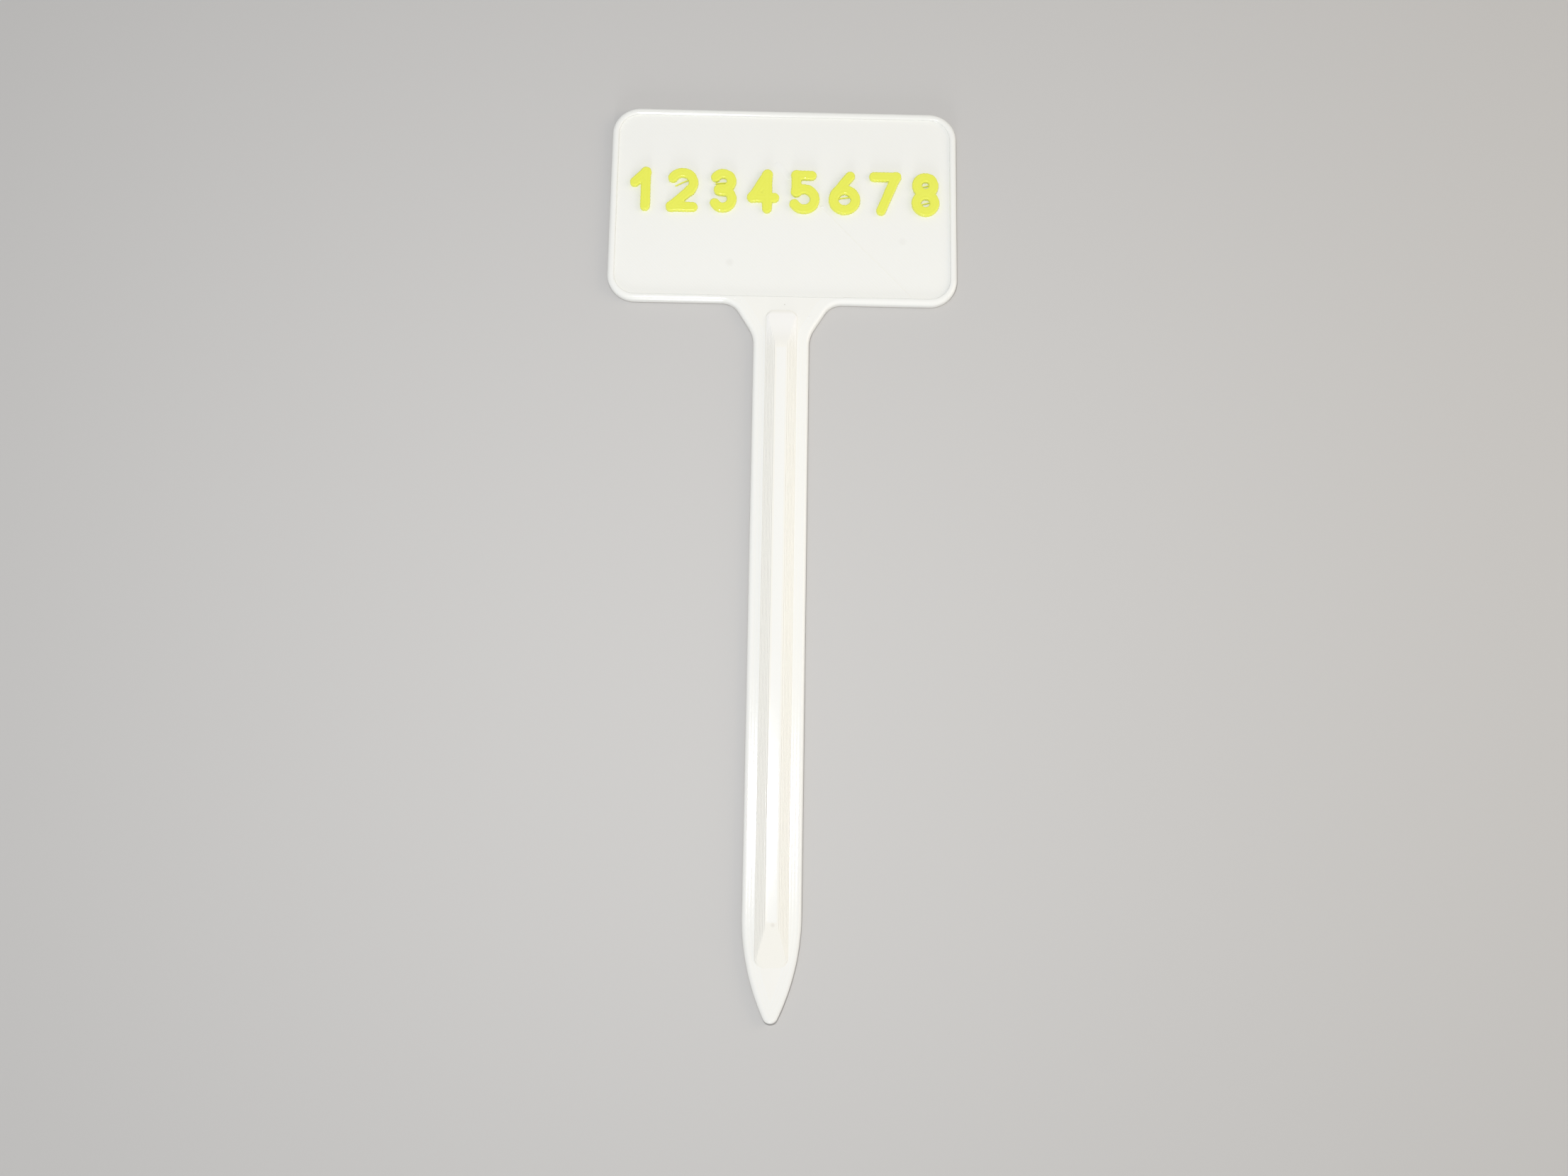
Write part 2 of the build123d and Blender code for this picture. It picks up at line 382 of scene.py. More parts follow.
def skin(rows):
    """Closed mesh through rows of right side, left side, height and cleft.

    A point of a side that has its own height keeps it.
    """
    bm = bmesh.new()
    layer = bm.verts.layers.float.new("cleft")
    rings = []
    for right, left, height, depth in rows:
        ring = [bm.verts.new((*point, height)[:3]) for point in right + left[::-1]]
        for vert in ring:
            vert[layer] = depth
        rings.append(ring)
    for low, high in zip(rings, rings[1:]):
        for i in range(len(low)):
            bm.faces.new((low[i - 1], low[i], high[i], high[i - 1]))
    for ring in (rings[0], rings[-1]):
        for i in range(len(ring) // 2 - 1):
            bm.faces.new((ring[i], ring[i + 1], ring[-2 - i], ring[-1 - i]))
    return closed_mesh(bm, WELD)


def raised(inset_at, low, high, cell, edge, top, wall):
    """Closed shell over the area where inset_at is positive, between two corners.

    top gives the height and cleft at a place and inset, from the inset edge inwards, and wall lists
    the insets, heights and clefts from there down to the foot.
    """
    bm = bmesh.new()
    layer = bm.verts.layers.float.new("cleft")
    columns = round((high[0] - low[0]) / cell) + 1
    rows = round((high[1] - low[1]) / cell) + 1
    depth = {}
    for i in range(columns):
        for j in range(rows):
            depth[i, j] = inset_at(low[0] + i * cell, low[1] + j * cell) - edge
    upper = {}
    foot_of = {}

    def add(x, y, height, cleft_depth):
        vert = bm.verts.new((x, y, height))
        vert[layer] = cleft_depth
        return vert

    def corner(key, x, y):
        if key not in upper:
            upper[key] = add(x, y, *top(x, y, inset_at(x, y)))
            foot_of[upper[key]] = add(x, y, wall[-1][1], 0.0)
        return upper[key]

    def border(a, b):
        key = (min(a, b), max(a, b))
        part = depth[key[0]] / (depth[key[0]] - depth[key[1]])
        x = low[0] + (key[0][0] + (key[1][0] - key[0][0]) * part) * cell
        y = low[1] + (key[0][1] + (key[1][1] - key[0][1]) * part) * cell
        return corner(key, x, y)

    for i in range(columns - 1):
        for j in range(rows - 1):
            ring = ((i, j), (i + 1, j), (i + 1, j + 1), (i, j + 1))
            face = []
            for a, b in zip(ring, ring[1:] + ring[:1]):
                if depth[a] > 0:
                    face.append(corner(a, low[0] + a[0] * cell, low[1] + a[1] * cell))
                if (depth[a] > 0) != (depth[b] > 0):
                    face.append(border(a, b))
            if len(face) > 2:
                bm.faces.new(face)
    rim_edges = [edge_of for edge_of in bm.edges if edge_of.is_boundary]
    for face in list(bm.faces):
        bm.faces.new([foot_of[vert] for vert in reversed(face.verts)])
    rings = {}
    step = CELL_SLOPE * cell
    for vert in dict.fromkeys(vert for edge_of in rim_edges for vert in edge_of.verts):
        x, y, _ = vert.co
        slope_x = inset_at(x + step, y) - inset_at(x - step, y)
        slope_y = inset_at(x, y + step) - inset_at(x, y - step)
        lean = Vector((slope_x, slope_y)).normalized()
        rings[vert] = [vert]
        for inset, height, cleft_depth in wall[:-1]:
            shift = inset - edge
            rings[vert].append(add(x + lean.x * shift, y + lean.y * shift, height, cleft_depth))
        foot = foot_of[vert]
        foot.co.x = x + lean.x * (wall[-1][0] - edge)
        foot.co.y = y + lean.y * (wall[-1][0] - edge)
        rings[vert].append(foot)
    for edge_of in rim_edges:
        first, second = (rings[vert] for vert in edge_of.verts)
        for k in range(len(wall)):
            bm.faces.new((first[k], second[k], second[k + 1], first[k + 1]))
    return closed_mesh(bm, CELL_WELD * cell)


def dome(start, end, radius, foot, crest):
    """Low rounded swelling about a straight stroke."""
    stroke = straight(start, end)
    margin = DOME_MARGIN * radius
    low = [min(pair) - margin for pair in zip(start, end)]
    high = [max(pair) + margin for pair in zip(start, end)]

    def inset_at(x, y):
        return radius - stroke(x, y)

    def top(_x, _y, inset):
        return foot + (crest - foot) * sqrt(max(1 - (1 - inset / radius) ** 2, 0.0)), 0.0

    edge = DOME_EDGE * radius
    return raised(inset_at, low, high, radius / DOME_CELLS, edge, top, [(0.0, foot, 0.0)])


def curve_object(name, path, cyclic=False):
    """A curve through the points of one path."""
    data = bpy.data.curves.new(name, "CURVE")
    data.dimensions = "3D"
    spline = data.splines.new("POLY")
    spline.points.add(len(path) - 1)
    for point, position in zip(spline.points, path):
        point.co = (*position, 1.0)
    spline.use_cyclic_u = cyclic
    return link(bpy.data.objects.new(name, data))


def link(obj):
    """Puts an object in the scene."""
    bpy.context.scene.collection.objects.link(obj)
    return obj


def grown(obj, tree, **inputs):
    """Plain mesh that a tree grows from an object, which is then removed."""
    modifier = obj.modifiers.new(tree.name, "NODES")
    modifier.node_group = tree
    sockets = {item.name: item.identifier for item in tree.interface.items_tree if item.in_out == "INPUT"}
    for name, value in inputs.items():
        modifier[sockets[name.replace("_", " ").capitalize()]] = value
    depsgraph = bpy.context.evaluated_depsgraph_get()
    mesh = bpy.data.meshes.new_from_object(obj.evaluated_get(depsgraph))
    obj.modifiers.remove(modifier)
    bpy.data.objects.remove(obj)
    return mesh


class Tree:
    """A node tree that grows by one node at each call."""

    def __init__(self, tree):
        self.tree = tree

    def node(self, kind, settings=None, sockets=None):
        """Adds a node, sets it, and gives its sockets values or links by identifier."""
        node = self.tree.nodes.new(kind)
        for name, value in (settings or {}).items():
            setattr(node, name, value)
        inputs = {socket.identifier: socket for socket in node.inputs}
        for name, value in (sockets or {}).items():
            value = getattr(value, "socket", value)
            if isinstance(value, bpy.types.NodeSocket):
                self.tree.links.new(value, inputs[name])
            else:
                inputs[name].default_value = value
        return node

    def value(self, kind, output, settings=None, sockets=None):
        """Adds a node and wraps one of its outputs for sums and products."""
        node = self.node(kind, settings, sockets)
        return Value(self, next(socket for socket in node.outputs if socket.identifier == output))


class Value:
    """A socket whose sums and products add Math nodes."""

    def __init__(self, tree, socket):
        self.tree = tree
        self.socket = socket

    def maths(self, operation, first, second):
        sockets = {"Value": first, "Value_001": second}
        return self.tree.value("ShaderNodeMath", "Value", {"operation": operation}, sockets)

    def __add__(self, other):
        return self.maths("ADD", self, other)

    __radd__ = __add__

    def __sub__(self, other):
        return self.maths("SUBTRACT", self, other)

    def __rsub__(self, other):
        return self.maths("SUBTRACT", other, self)

    def __mul__(self, other):
        return self.maths("MULTIPLY", self, other)

    __rmul__ = __mul__


# Geometry trees

def new_tree(name, inputs):
    """Geometry tree with a geometry input, the named inputs and a geometry output."""
    group = bpy.data.node_groups.new(name, "GeometryNodeTree")
    group.interface.new_socket("Geometry", in_out="INPUT", socket_type="NodeSocketGeometry")
    for socket_name, kind in inputs:
        group.interface.new_socket(socket_name, in_out="INPUT", socket_type=kind)
    group.interface.new_socket("Geometry", in_out="OUTPUT", socket_type="NodeSocketGeometry")
    tree = Tree(group)
    outputs = tree.node("NodeGroupInput").outputs
    return tree, {socket.name: socket for socket in outputs}


def end_tree(tree, geometry, material):
    """Closes a tree with plain, smooth geometry in one material."""
    plain = tree.node("GeometryNodeRealizeInstances", None, {"Geometry": geometry})
    smooth = tree.node("GeometryNodeSetShadeSmooth", None, {"Geometry": plain.outputs[0]})
    painted = tree.node("GeometryNodeSetMaterial", None, {
        "Geometry": smooth.outputs[0], "Material": material})
    exit_node = tree.node("NodeGroupOutput")
    tree.tree.links.new(painted.outputs[0], exit_node.inputs[0])
    return tree.tree


def swept(tree, curve, given):
    """Adds the nodes that sweep a profile along a curve, upright."""
    upright = tree.node("GeometryNodeSetCurveNormal", {"mode": "Z_UP"}, {"Curve": curve})
    profile = tree.node("GeometryNodeObjectInfo", None, {"Object": given["Profile"]})
    sweep = tree.node("GeometryNodeCurveToMesh", None, {
        "Curve": upright.outputs[0], "Profile Curve": profile.outputs["Geometry"], "Fill Caps": True})
    return end_tree(tree, sweep.outputs[0], given["Material"])


def hatch_tree():
    """Tree that lays a profile along a path and rounds its turns."""
    tree, given = new_tree("hatch_bead", (
        ("Profile", "NodeSocketObject"),
        ("Turn radius", "NodeSocketFloat"),
        ("Material", "NodeSocketMaterial"),
    ))
    rounded = tree.node("GeometryNodeFilletCurve", {"mode": "POLY"}, {
        "Curve": given["Geometry"], "Count": 4, "Radius": given["Turn radius"], "Limit Radius": True})
    return swept(tree, rounded.outputs[0], given)


def thread_tree():
    """Tree that lays a profile along a path and lets it stray a little."""
    tree, given = new_tree("thread", (
        ("Profile", "NodeSocketObject"),
        ("Wander", "NodeSocketFloat"),
        ("Wander length", "NodeSocketFloat"),
        ("Material", "NodeSocketMaterial"),
    ))
    where = tree.node("GeometryNodeInputPosition").outputs[0]
    scaled = tree.node("ShaderNodeVectorMath", {"operation": "DIVIDE"}, {
        "Vector": where, "Vector_001": given["Wander length"]})
    stray = tree.node("ShaderNodeTexNoise", None, {
        "Vector": scaled.outputs[0], "Scale": 1.0, "Detail": 1.0})
    centred = tree.node("ShaderNodeVectorMath", {"operation": "SUBTRACT"}, {
        "Vector": stray.outputs["Color"], "Vector_001": (0.5, 0.5, 0.5)})
    sideways = tree.node("ShaderNodeCombineXYZ", None, {"X": given["Wander"], "Y": given["Wander"]})
    offset = tree.node("ShaderNodeVectorMath", {"operation": "MULTIPLY"}, {
        "Vector": centred.outputs[0], "Vector_001": sideways.outputs[0]})
    strayed = tree.node("GeometryNodeSetPosition", None, {
        "Geometry": given["Geometry"], "Offset": offset.outputs[0]})
    return swept(tree, strayed.outputs[0], given)


def speck_tree():
    """Tree that sets a low rounded speck of uneven size on every point."""
    tree, given = new_tree("specks", (
        ("Radius", "NodeSocketFloat"),
        ("Height", "NodeSocketFloat"),
        ("Seed", "NodeSocketInt"),
        ("Material", "NodeSocketMaterial"),
    ))
    ball = tree.node("GeometryNodeMeshUVSphere", None, {"Segments": 10, "Rings": 8, "Radius": 1.0})
    size = tree.value("FunctionNodeRandomValue", "Value_001", {"data_type": "FLOAT"}, {
        "Min_001": 0.6, "Max_001": 1.2, "Seed": given["Seed"]})
    flat = tree.node("ShaderNodeCombineXYZ", None, {
        "X": given["Radius"], "Y": given["Radius"], "Z": given["Height"]})
    scale = tree.node("ShaderNodeVectorMath", {"operation": "SCALE"}, {
        "Vector": flat.outputs[0], "Scale": size})
    specks = tree.node("GeometryNodeInstanceOnPoints", None, {
        "Points": given["Geometry"], "Instance": ball.outputs["Mesh"], "Scale": scale.outputs[0]})
    return end_tree(tree, specks.outputs[0], given["Material"])


# Beads. The lifts are heights above the back, in rises of a bead, that keep what lies there apart.

BEAD_REACH = 0.58
BEAD_POINTS = (-1.0, -0.62, -0.25, 0.25, 0.62, 1.0)
FRONT_HEADING = radians(-45)
BACK_HEADING = radians(45)
HATCH_STEP = 0.1 * MM
FACE_BACK_LIFT = 1.2
STAKE_BACK_LIFT = 1.5
CORE_LIFT = 2.0


def profile_object(points):
    """Closed profile curve, given as distances to the right of the path and above it."""
    return curve_object("profile", [(across, -up, 0.0) for across, up in points], cyclic=True)


def bead_profile(width, rise):
    """Flat arched bead whose crest is on the path, a little wider than its share of the face."""
    across = [point * BEAD_REACH * width for point in BEAD_POINTS]
    return [(x, -rise * (x / (width / 2)) ** 2) for x in across]


def lay(tree, path, profile, material, **inputs):
    """Mesh of a profile that a tree lays along a path."""
    shape = profile_object(profile)
    mesh = grown(curve_object("path", path), tree, profile=shape, material=material, **inputs)
    bpy.data.objects.remove(shape)
    return mesh


def thread(path, profile, material, wander=0.0, wander_length=2.0 * MM):
    """Mesh of a profile that strays a little along its path."""
    tree = bpy.data.node_groups.get("thread") or thread_tree()
    return lay(tree, path, profile, material, wander=wander, wander_length=wander_length)


def half_width_at(side, y):
    """Half width of a mirrored outline at one place along it, and -1 beyond its ends."""
    for (x0, y0), (x1, y1) in zip(side, side[1:]):
        if y1 <= y <= y0 and y0 > y1:
            return x0 + (x1 - x0) * (y0 - y) / (y0 - y1)
    return -1.0


def crossing(side, origin, heading, reach, step):
    """First and last place where a line lies inside a mirrored outline."""
    inside = []
    for i in range(-round(reach / step), round(reach / step) + 1):
        x = origin[0] + heading[0] * i * step
        y = origin[1] + heading[1] * i * step
        if abs(x) <= half_width_at(side, y):
            inside.append(i * step)
    return (inside[0], inside[-1]) if len(inside) > 1 else None


def hatch(side, heading, pitch, pair_shift):
    """Corners of one path that fills a mirrored outline in slanting lines, to and fro."""
    middle_y = (side[0][1] + side[-1][1]) / 2
    reach = hypot(max(x for x, _ in side), side[0][1] - middle_y)
    along = (cos(heading), sin(heading))
    across = (-along[1], along[0])
    path = []
    for i in range(round(2 * reach / pitch) + 1):
        shift = -reach + i * pitch + (pair_shift if i % 2 else -pair_shift)
        origin = (across[0] * shift, middle_y + across[1] * shift)
        span = crossing(side, origin, along, reach, HATCH_STEP)
        if span:
            ends = span if i % 2 else span[::-1]
            path += [(origin[0] + along[0] * t, origin[1] + along[1] * t) for t in ends]
    return path


def mark_clefts(mesh, crest, rise, most=1.0):
    """Notes on each point how deep it lies in the cleft beside its bead, which the materials paint as
    shade.
    """
    marks = mesh.attributes.new("cleft", "FLOAT", "POINT")
    for vert, mark in zip(mesh.vertices, marks.data):
        mark.value = min(abs(crest - vert.co.z) / abs(rise), most)
    return mesh


def hatched(side, heading, crest, rise, beads, material):
    """Mesh of the beads that fill an outline at one height."""
    lines = lay(
        bpy.data.node_groups.get("hatch_bead") or hatch_tree(),
        [(x, y, crest) for x, y in hatch(side, heading, beads.pitch, beads.pair_shift)],
        bead_profile(beads.pitch, rise),
        material,
        turn_radius=beads.pitch / 2,
    )
    return mark_clefts(lines, crest, rise)


def specks(points, beads, seed, material):
    """Mesh of the shiny specks at some points."""
    mesh = bpy.data.meshes.new("specks")
    mesh.from_pydata(points, [], [])
    return grown(
        link(bpy.data.objects.new("specks", mesh)),
        bpy.data.node_groups.get("specks") or speck_tree(),
        radius=beads.speck_size,
        height=beads.speck_height,
        seed=seed,
        material=material,
    )


def piece(name, meshes, material, node):
    """One object from several meshes, in place of a packed node."""
    bm = bmesh.new()
    for mesh in meshes:
        bm.from_mesh(mesh)
        bpy.data.meshes.remove(mesh)
    bmesh.ops.recalc_face_normals(bm, faces=bm.faces)
    whole = bpy.data.meshes.new(name)
    bm.to_mesh(whole)
    bm.free()
    whole.materials.clear()
    whole.materials.append(material)
    whole.shade_smooth()
    whole.set_sharp_from_angle(angle=SMOOTH_ANGLE)
    obj = link(bpy.data.objects.new(name, whole))
    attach(obj, "root")
    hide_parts(node)
    return obj


# Finishes. Noise scales count waves to a metre, and fades run from none to all between two places.

GRAIN_SCALE = 4500.0
PATCH_SCALE = 420.0
STREAK_SCALE = (14000.0, 2500.0, 3000.0)
GRAIN_DEPTH = 0.045
STREAK_DEPTH = 0.10
RELIEF_HEIGHT = 0.05 * MM
GRAIN_SHARE_OF_GLOSS = 0.6
PLASTIC_IOR = 1.47
STAKE_FADE = (PANEL_LOW.y + 1 * MM, RIM_LOW.y - 4 * MM)
# Where the painted light on the rib's root ramp fades in: along the stake, then above the stake's top
RAMP_LIGHT_FADE = (RIB_HIGH.y - 7 * MM, RIB_HIGH.y - 2 * MM)
RIB_FADE = (BLADE_HIGH.z, BLADE_HIGH.z + 0.2 * MM)
# Heights between which a darker brown band runs along the foot of the white walls, and its strength
DARK_FOOT_RISE_FADE = (0.03 * MM, 0.06 * MM)
DARK_FOOT_TOP_FADE = (0.26 * MM, 0.12 * MM)
DARK_FOOT_STRENGTH = 0.6
# Shares of painted shade in a full cleft, and of mottle in the patches, for each plastic
WHITE_CLEFT_SHADE = 0.07
WHITE_PATCH_SHADE = 0.05
YELLOW_CLEFT_SHADE = 0.15
YELLOW_PATCH_SHADE = 0.3

# Smudges and dark specks, each with its place, radius and strength, and the share of the radius
# within which they are even
SMUDGE_CORE = 0.2
SMUDGES = (
    ((-7.59 * MM, 41.10 * MM, PANEL_HIGH.z), 0.8 * MM, 0.07),
    ((17.17 * MM, 44.84 * MM, PANEL_HIGH.z), 0.8 * MM, 0.05),
    ((0.14 * MM, -52.5 * MM, RIB_HIGH.z), 0.4 * MM, 0.15),
    ((0.4 * MM, 34.64 * MM, BLADE_HIGH.z), 0.13 * MM, 0.40),
)


def new_material(name):
    """Material with a plain plastic shader, and its tree."""
    material = bpy.data.materials.new(name)
    material.use_nodes = True
    return material, Tree(material.node_tree), material.node_tree.nodes["Principled BSDF"]


def blend(tree, factor, first, second):
    """Colour between two colours."""
    return tree.value("ShaderNodeMix", "Result_Color", {"data_type": "RGBA"}, {
        "Factor_Float": factor, "A_Color": first, "B_Color": second})


def rgba(colour_value):
    """Colour with full cover."""
    return (*colour_value, 1.0)


def ease(tree, value, start, end):
    """Share that goes smoothly from none at start to all at end."""
    return tree.value("ShaderNodeMapRange", "Result", {"interpolation_type": "SMOOTHSTEP"}, {
        "Value": value, "From Min": start, "From Max": end})


def spot(tree, where, centre, radius):
    """Mask of a soft round mark."""
    gap = tree.value("ShaderNodeVectorMath", "Value", {"operation": "DISTANCE"}, {
        "Vector": where, "Vector_001": centre})
    return ease(tree, gap, radius, SMUDGE_CORE * radius)


def streaks(tree, where):
    """Relief of short streaks along the stake."""
    stretched = tree.node("ShaderNodeMapping", None, {"Vector": where, "Scale": STREAK_SCALE})
    return STREAK_DEPTH * tree.value("ShaderNodeTexNoise", "Fac", None, {
        "Vector": stretched.outputs[0], "Scale": 1.0, "Detail": 1.0})


def plastic_surface(tree, shader, where, finish, relief=0.0):
    """Uneven gloss and a fine grain on top of a relief. Returns the patches that the gloss follows."""
    grain = tree.value("ShaderNodeTexNoise", "Fac", None, {
        "Vector": where, "Scale": GRAIN_SCALE, "Detail": 2.0, "Roughness": 0.6})
    patches = tree.value("ShaderNodeTexNoise", "Fac", None, {
        "Vector": where, "Scale": PATCH_SCALE, "Detail": 2.0, "Roughness": 0.5})
    uneven = grain * GRAIN_SHARE_OF_GLOSS + patches * (1 - GRAIN_SHARE_OF_GLOSS)
    roughness = finish.gloss + finish.gloss_spread * (uneven - 0.5)
    bump = tree.node("ShaderNodeBump", None, {
        "Strength": 1.0, "Distance": RELIEF_HEIGHT, "Height": grain * GRAIN_DEPTH + relief})
    tree.tree.links.new(roughness.socket, shader.inputs["Roughness"])
    tree.tree.links.new(bump.outputs["Normal"], shader.inputs["Normal"])
    shader.inputs["IOR"].default_value = PLASTIC_IOR
    return patches


def white_plastic():
    """White plastic, cooler and thinner on the plaque, creamy along the thick stake, with painted shade in
    its clefts and on the rib's sloping sides and painted light on the rib's root ramp.
    """
    known = bpy.data.materials.get("white_plastic")
    if known:
        return known
    finish = bpy.context.scene.label_finish
    material, tree, shader = new_material("white_plastic")
    where = tree.value("ShaderNodeTexCoord", "Object")
    axes = tree.node("ShaderNodeSeparateXYZ", None, {"Vector": where})
    stake_share = ease(tree, axes.outputs["Y"], *STAKE_FADE)
    patches = plastic_surface(tree, shader, where, finish, streaks(tree, where) * stake_share)
    # Cleft mark, which sets how much painted shade a point gets
    depth = tree.value("ShaderNodeAttribute", "Fac", {"attribute_name": "cleft"})
    # Painted light on the rib's root ramp, which the lamps light less than the flat stake
    ramp_light_share = ease(tree, axes.outputs["Y"], *RAMP_LIGHT_FADE) * ease(tree, axes.outputs["Z"], *RIB_FADE)
    plain = blend(tree, stake_share, rgba(finish.white), rgba(finish.cream))
    plain = blend(tree, ramp_light_share, plain, rgba(finish.bright))
    # Painted shade in clefts and on the rib's sides, left off the root ramp, plus mottle in patches
    shade = depth * (1 - ramp_light_share) * WHITE_CLEFT_SHADE + patches * WHITE_PATCH_SHADE
    shaded = blend(tree, shade, plain, rgba(finish.shade))
    # A darker brown band along the foot of the walls, then the smudges and specks
    darkening = ease(tree, axes.outputs["Z"], *DARK_FOOT_RISE_FADE) * ease(tree, axes.outputs["Z"], *DARK_FOOT_TOP_FADE)
    dirt_and_dark_foot = DARK_FOOT_STRENGTH * darkening
    for centre, radius, strength in SMUDGES:
        dirt_and_dark_foot = dirt_and_dark_foot + strength * spot(tree, where, centre, radius)
    with_dark_marks = blend(tree, dirt_and_dark_foot, shaded, rgba(finish.dirt_and_dark_foot))
    tree.tree.links.new(with_dark_marks.socket, shader.inputs["Base Color"])
    return material


def yellow_plastic():
    """Lime yellow plastic, deeper in its clefts by painted shade."""
    known = bpy.data.materials.get("yellow_plastic")
    if known:
        return known
    finish = bpy.context.scene.label_finish
    material, tree, shader = new_material("yellow_plastic")
    where = tree.value("ShaderNodeTexCoord", "Object")
    patches = plastic_surface(tree, shader, where, finish)
    depth = tree.value("ShaderNodeAttribute", "Fac", {"attribute_name": "cleft"})
    # Painted shade in clefts, plus mottle in patches
    shade = depth * YELLOW_CLEFT_SHADE + patches * YELLOW_PATCH_SHADE
    mixed = blend(tree, shade, rgba(finish.yellow), rgba(finish.amber_shade_and_mottle))
    tree.tree.links.new(mixed.socket, shader.inputs["Base Color"])
    return material


# Numerals

def on_circle(centre_y, bend, turn):
    """Point on a pen circle about the numeral's upright middle line."""
    return bend * cos(turn), centre_y + bend * sin(turn)


def touch_turn(start, centre_y, bend):
    """Turn at which a line from start first touches a pen circle."""
    return atan2(start[1] - centre_y, start[0]) + acos(bend / hypot(start[0], start[1] - centre_y))


def ring(centre_y, bend):
    """Stroke of a full pen circle."""
    return [bow(centre_y, bend, 0, 2 * pi)]


class Pen:
    """Bounds of the middle line of the strokes, about the middle of a numeral, and its bowls."""

    def __init__(self, numerals):
        low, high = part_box("numeral_2")
        self.radius = numerals.pen_width / 2
        self.half_w = (high.x - low.x) / 2 - self.radius
        self.half_h = (high.y - low.y) / 2 - self.radius
        self.stem = numerals.stem_shift
        upper = (self.half_h - numerals.waist_rise - numerals.waist_spread) / 2
        lower = (self.half_h + numerals.waist_rise - numerals.waist_spread) / 2
        self.upper = (self.half_h - upper, upper)
        self.lower = (lower - self.half_h, lower)


def one(pen, _):
    top = (pen.stem, pen.half_h)
    flag_end = (pen.stem - pen.half_w, pen.half_h - pen.half_w)
    return [straight(flag_end, top), straight(top, (pen.stem, -pen.half_h))]


def two(pen, numerals):
    centre_y = pen.half_h - pen.half_w
    foot = (-pen.half_w, -pen.half_h)
    touch = touch_turn(foot, centre_y, pen.half_w)
    return [
        bow(centre_y, pen.half_w, numerals.open_end, touch),
        straight(on_circle(centre_y, pen.half_w, touch), foot),
        straight(foot, (pen.half_w, -pen.half_h)),
    ]


def three(pen, numerals):
    strokes = []
    for bowl, way in ((pen.upper, 1), (pen.lower, -1)):
        waist = on_circle(*bowl, -way * pi / 2)
        strokes += [
            bow(*bowl, way * numerals.open_end, -way * pi / 2),
            straight(waist, (-pen.stem, waist[1])),
        ]
    return strokes


def four(pen, numerals):
    top = (pen.stem, pen.half_h)
    elbow = (-pen.half_w, numerals.four_bar_rise - pen.half_h)
    return [
        straight(top, elbow),
        straight(elbow, (pen.half_w, elbow[1])),
        straight(top, (pen.stem, -pen.half_h)),
    ]


def five(pen, numerals):
    centre_y = pen.half_w - pen.half_h
    joint = on_circle(centre_y, pen.half_w, numerals.five_joint)
    corner = (joint[0], pen.half_h)
    return [
        straight((-joint[0], pen.half_h), corner),
        straight(corner, joint),
        bow(centre_y, pen.half_w, numerals.five_joint, -numerals.open_end),
    ]


def six(pen, numerals):
    centre_y = pen.half_w - pen.half_h
    top = (numerals.six_top_shift, pen.half_h)
    touch = touch_turn(top, centre_y, pen.half_w)
    return [straight(top, on_circle(centre_y, pen.half_w, touch))] + ring(centre_y, pen.half_w)


def seven(pen, _):
    corner = (pen.half_w, pen.half_h)
    return [straight((-pen.half_w, pen.half_h), corner), straight(corner, (-pen.stem, -pen.half_h))]


def eight(pen, _):
    return ring(*pen.upper) + ring(*pen.lower)


NUMERALS = (one, two, three, four, five, six, seven, eight)

# Thin strings of plastic across the gaps of a numeral. Each runs from one point to another, in
# millimetres about the numeral's middle.
STRINGS = {
    "numeral_2": [((-1.00, 0.60), (0.75, 1.55))],
    "numeral_3": [((-1.10, 1.15), (0.60, 1.25))],
    "numeral_4": [((-0.55, 0.15), (0.30, 0.75))],
    "numeral_5": [((-0.90, 1.30), (0.70, 0.45))],
    "numeral_6": [((-0.95, -0.85), (0.90, -0.55))],
    "numeral_8": [((-0.55, 1.20), (0.60, 1.50)), ((-0.60, -1.55), (0.65, -1.15))],
}


# Operators

